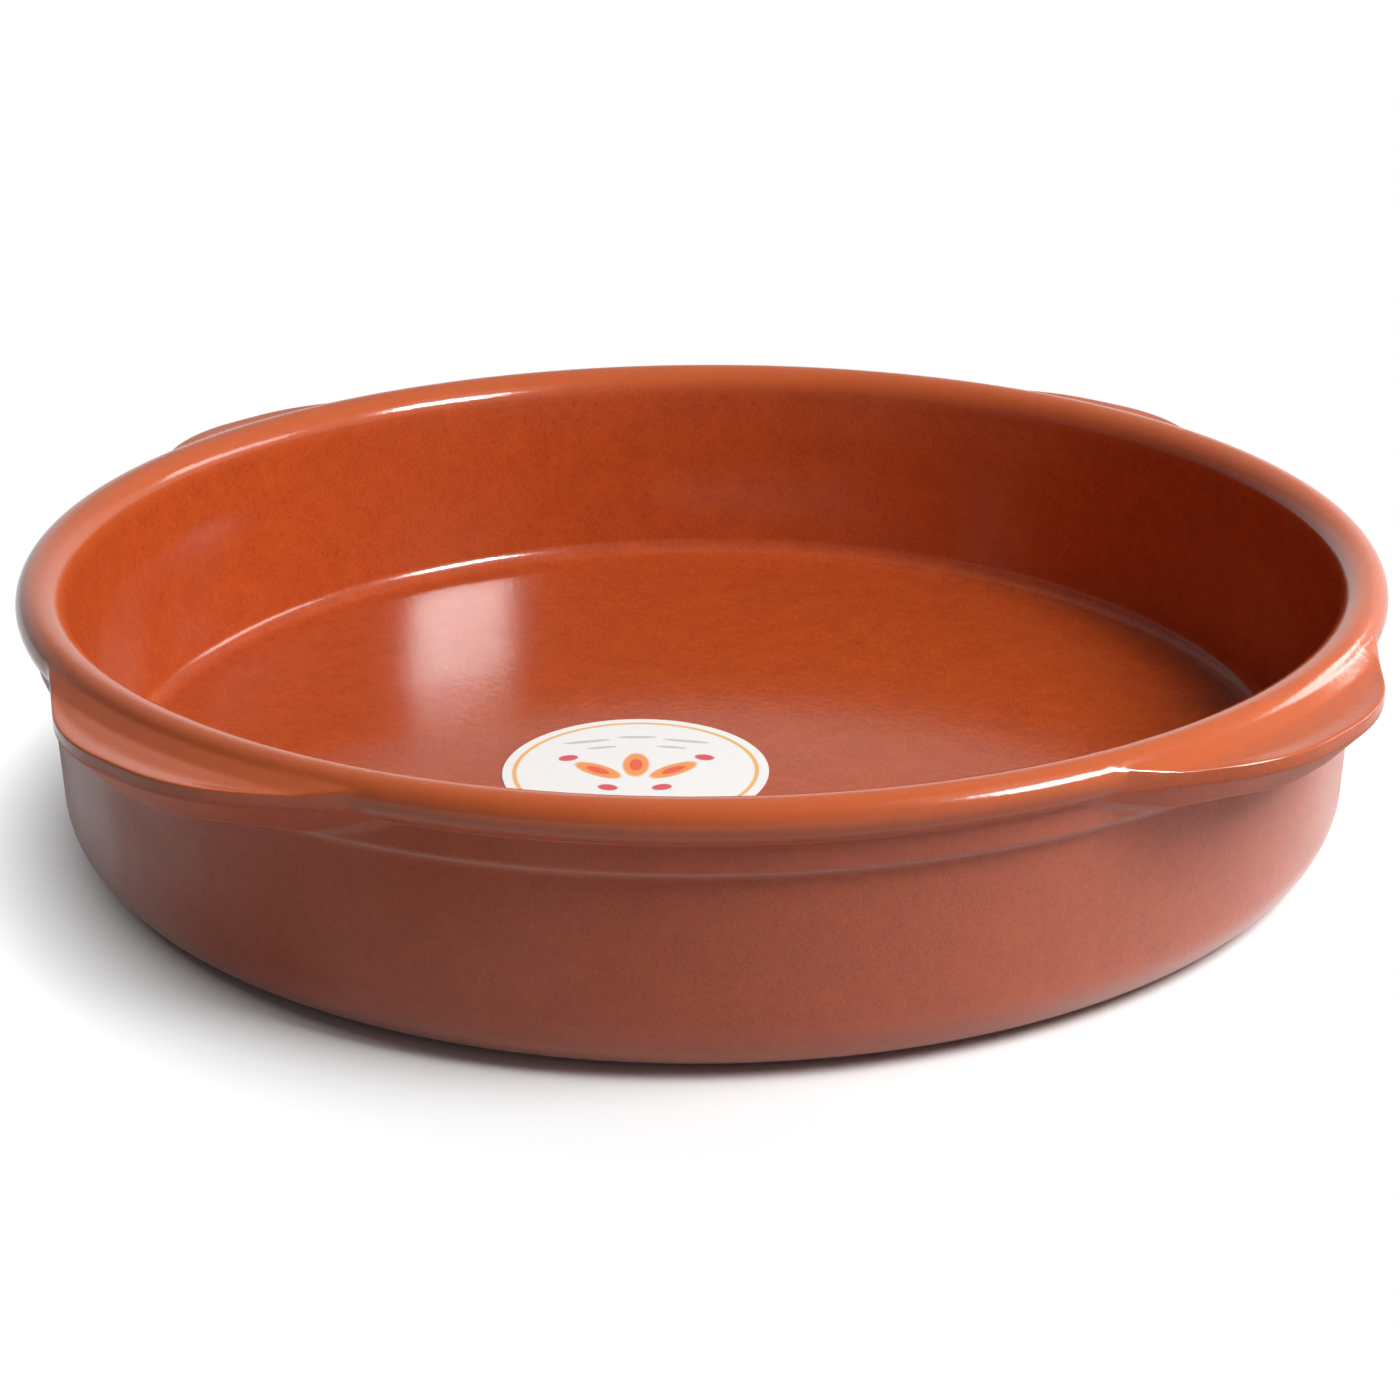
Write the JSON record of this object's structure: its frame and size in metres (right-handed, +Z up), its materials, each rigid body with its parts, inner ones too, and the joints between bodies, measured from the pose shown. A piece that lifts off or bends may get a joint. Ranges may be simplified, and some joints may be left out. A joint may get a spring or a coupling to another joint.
{
  "type": "earthenware cazuela",
  "caption": "Shallow round glazed terracotta cooking dish with a rolled rim, a stepped collar, rim lugs and a small paper sticker on its floor.",
  "frame": {"origin": "centre of the flat base, on the surface the dish stands on", "axes": "+Z up along the dish's axis; the lugs point along +X, +Y, -X and -Y"},
  "size_m": [0.3228, 0.3228, 0.058],
  "materials": {
    "glazed_clay": "glossy, speckled",
    "sticker_paper": "satin"
  },
  "bodies": {
    "root": {"cazuela": "glazed_clay", "sticker": "sticker_paper"}
  },
  "joints": []
}
